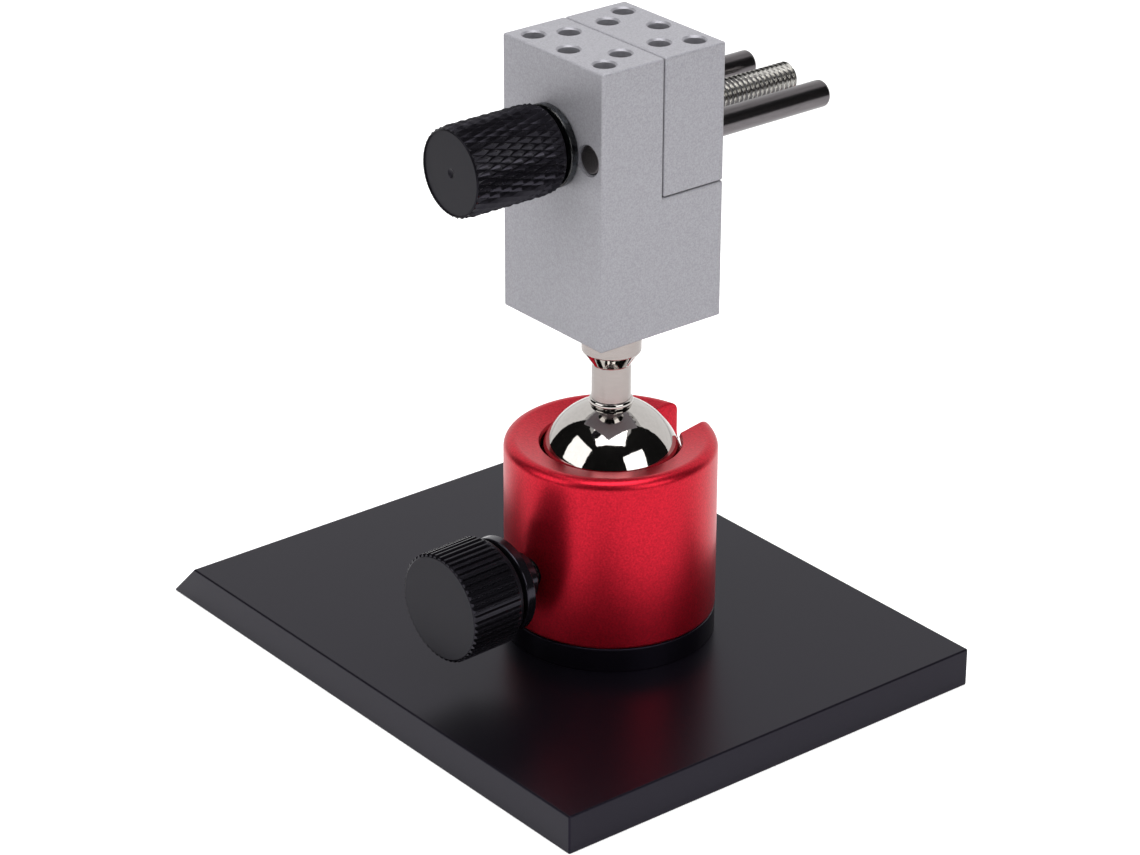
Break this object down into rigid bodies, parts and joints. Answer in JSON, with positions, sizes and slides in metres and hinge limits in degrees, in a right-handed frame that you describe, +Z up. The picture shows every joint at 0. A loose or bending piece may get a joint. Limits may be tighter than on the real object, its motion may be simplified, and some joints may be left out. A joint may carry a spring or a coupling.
{
  "type": "mini bench vise",
  "caption": "Small bench vise: a screw-driven jaw on guide rods, on a lockable ball stem in a slotted housing over a bevelled plate.",
  "frame": {"origin": "the middle of the base plate's underside", "axes": "+Z up, +X the way the moving jaw opens and the rods point, +Y towards the plate's bevelled edge"},
  "size_m": [0.1, 0.13, 0.13],
  "materials": {
    "black_anodised": "satin black anodised, fine bead-blasted grain",
    "red_anodised": "bead-blasted red anodised",
    "silver_anodised": "bead-blasted silver anodised",
    "plain_aluminium": "plain turned",
    "ball_plating": "bright nickel or chrome plating",
    "ground_steel": "ground and polished",
    "zinc_steel": "bright zinc plating",
    "black_steel": "black oxide, lightly oiled",
    "spring_steel": "plain spring steel",
    "knob_black": "black anodised over knurling",
    "seat_nylon": "natural white nylon",
    "clear_plastic": "cloudy clear plastic"
  },
  "bodies": {
    "base": {"base_plate": "black_anodised", "base_screw": "zinc_steel", "base_washer": "zinc_steel", "base_cap": "black_anodised", "ball_housing": "red_anodised", "cup_spring": "spring_steel"},
    "seat": {"ball_seat": "seat_nylon", "ball_cup": "plain_aluminium"},
    "stem": {"ball_stem": "ball_plating"},
    "jaw": {"jaw_body": "silver_anodised", "guide_rod_near": "ground_steel", "guide_rod_far": "ground_steel", "thrust_washer": "clear_plastic"},
    "slide": {"moving_jaw": "silver_anodised"},
    "screw": {"lead_screw": "zinc_steel", "jaw_knob": "knob_black", "retaining_ring": "spring_steel"},
    "collar": {"lock_collar": "knob_black"},
    "lock": {"lock_knob": "knob_black", "lock_stud": "black_steel"}
  },
  "joints": [
    {"name": "ball_pan", "type": "hinge", "parent": "base", "child": "seat", "pos_m": [0.0023, -0.0125, 0.0426], "axis": [0, 0, 1], "range_deg": [0, 360]},
    {"name": "ball_tilt", "type": "hinge", "parent": "seat", "child": "stem", "pos_m": [0.0023, -0.0125, 0.0426], "axis": [0.0523, 0.9986, 0], "range_deg": [-52, 88]},
    {"name": "stem_spin", "type": "hinge", "parent": "stem", "child": "jaw", "pos_m": [0.0023, -0.0125, 0.0426], "axis": [0, 0, 1], "continuous": true},
    {"name": "screw_turn", "type": "hinge", "parent": "jaw", "child": "screw", "pos_m": [0.0023, -0.0125, 0.11245], "axis": [-1, 0, 0], "range_deg": [0, 7513]},
    {"name": "jaw_slide", "type": "slide", "parent": "jaw", "child": "slide", "axis": [1, 0, 0], "range_m": [0, 0.024]},
    {"name": "lock_travel", "type": "slide", "parent": "base", "child": "collar", "axis": [-0.999, -0.0436, 0], "range_m": [0, 0.002]},
    {"name": "lock_turn", "type": "hinge", "parent": "collar", "child": "lock", "pos_m": [0.0023, -0.0125, 0.02615], "axis": [-0.999, -0.0436, 0], "range_deg": [0, 720]}
  ],
  "couplings": [
    {"joint": "jaw_slide", "follows": "screw_turn", "m_per_rad": 0.00018303},
    {"joint": "lock_turn", "follows": "lock_travel", "rad_per_m": 6283.2}
  ]
}
